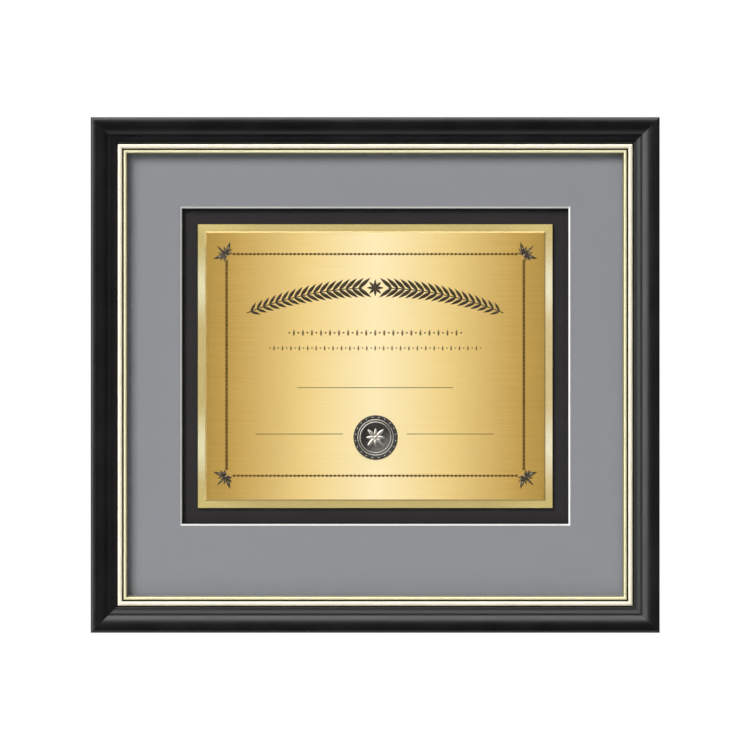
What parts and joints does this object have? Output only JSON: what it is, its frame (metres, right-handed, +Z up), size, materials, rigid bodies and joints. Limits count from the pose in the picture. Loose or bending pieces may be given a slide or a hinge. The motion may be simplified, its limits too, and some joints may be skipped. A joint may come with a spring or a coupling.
{
  "type": "certificate frame",
  "caption": "Wall frame with a mitred black moulding, gilt slip, glazing and window mat around a recessed gold plate, closed by a backing board under turn buttons.",
  "frame": {"origin": "centre of the frame's outline, on the wall plane that the rear bumpers touch", "axes": "+X to the right along the width, +Z up the height, +Y into the wall, so the front faces -Y"},
  "size_m": [0.4064, 0.0267, 0.3682],
  "materials": {
    "black_lacquer": "satin",
    "gilt": "gloss",
    "picture_glass": "polished",
    "grey_mat": "matte",
    "black_board": "matte",
    "foam_board": "matte",
    "gold_plate": "satin",
    "tape": "matte",
    "hardboard": "matte",
    "zinc_steel": "satin",
    "nickel_wire": "polished",
    "bumper_rubber": "matte"
  },
  "bodies": {
    "frame": {"top_rail": "black_lacquer", "top_slip": "gilt", "top_spacer": "foam_board", "bottom_rail": "black_lacquer", "bottom_slip": "gilt", "bottom_spacer": "foam_board", "left_rail": "black_lacquer", "left_slip": "gilt", "left_spacer": "foam_board", "right_rail": "black_lacquer", "right_slip": "gilt", "right_spacer": "foam_board", "corner_v_nails": "zinc_steel", "glazing": "picture_glass", "mat_board": "grey_mat", "mount_board": "black_board", "certificate_plate": "gold_plate", "plate_tape": "tape", "backing_board": "hardboard", "turn_button_screws": "zinc_steel", "hanger_screws": "zinc_steel", "left_hanger_strap": "nickel_wire", "right_hanger_strap": "nickel_wire", "left_bumper": "bumper_rubber", "right_bumper": "bumper_rubber"},
    "button_top_left": {"turn_button_top_left": "zinc_steel"},
    "button_top_right": {"turn_button_top_right": "zinc_steel"},
    "button_bottom_left": {"turn_button_bottom_left": "zinc_steel"},
    "button_bottom_right": {"turn_button_bottom_right": "zinc_steel"},
    "button_left_lower": {"turn_button_left_lower": "zinc_steel"},
    "button_left_upper": {"turn_button_left_upper": "zinc_steel"},
    "button_right_lower": {"turn_button_right_lower": "zinc_steel"},
    "button_right_upper": {"turn_button_right_upper": "zinc_steel"},
    "left_ring": {"left_hanger_ring": "nickel_wire"},
    "right_ring": {"right_hanger_ring": "nickel_wire"}
  },
  "joints": [
    {"name": "button_top_left_turn", "type": "hinge", "parent": "frame", "child": "button_top_left", "pos_m": [-0.1032, -0.0045, 0.17715], "axis": [0, 1, 0], "continuous": true},
    {"name": "button_top_right_turn", "type": "hinge", "parent": "frame", "child": "button_top_right", "pos_m": [0.1032, -0.0045, 0.17715], "axis": [0, 1, 0], "continuous": true},
    {"name": "button_bottom_left_turn", "type": "hinge", "parent": "frame", "child": "button_bottom_left", "pos_m": [-0.1032, -0.0045, -0.17715], "axis": [0, 1, 0], "continuous": true},
    {"name": "button_bottom_right_turn", "type": "hinge", "parent": "frame", "child": "button_bottom_right", "pos_m": [0.1032, -0.0045, -0.17715], "axis": [0, 1, 0], "continuous": true},
    {"name": "button_left_lower_turn", "type": "hinge", "parent": "frame", "child": "button_left_lower", "pos_m": [-0.1962, -0.0045, -0.04915], "axis": [0, 1, 0], "continuous": true},
    {"name": "button_left_upper_turn", "type": "hinge", "parent": "frame", "child": "button_left_upper", "pos_m": [-0.1962, -0.0045, 0.04915], "axis": [0, 1, 0], "continuous": true},
    {"name": "button_right_lower_turn", "type": "hinge", "parent": "frame", "child": "button_right_lower", "pos_m": [0.1962, -0.0045, -0.04915], "axis": [0, 1, 0], "continuous": true},
    {"name": "button_right_upper_turn", "type": "hinge", "parent": "frame", "child": "button_right_upper", "pos_m": [0.1962, -0.0045, 0.04915], "axis": [0, 1, 0], "continuous": true},
    {"name": "left_ring_swing", "type": "hinge", "parent": "frame", "child": "left_ring", "pos_m": [-0.1962, -0.00264, 0.12415], "axis": [-1, 0, 0], "range_deg": [0, 175]},
    {"name": "right_ring_swing", "type": "hinge", "parent": "frame", "child": "right_ring", "pos_m": [0.1962, -0.00264, 0.12415], "axis": [-1, 0, 0], "range_deg": [0, 175]}
  ]
}
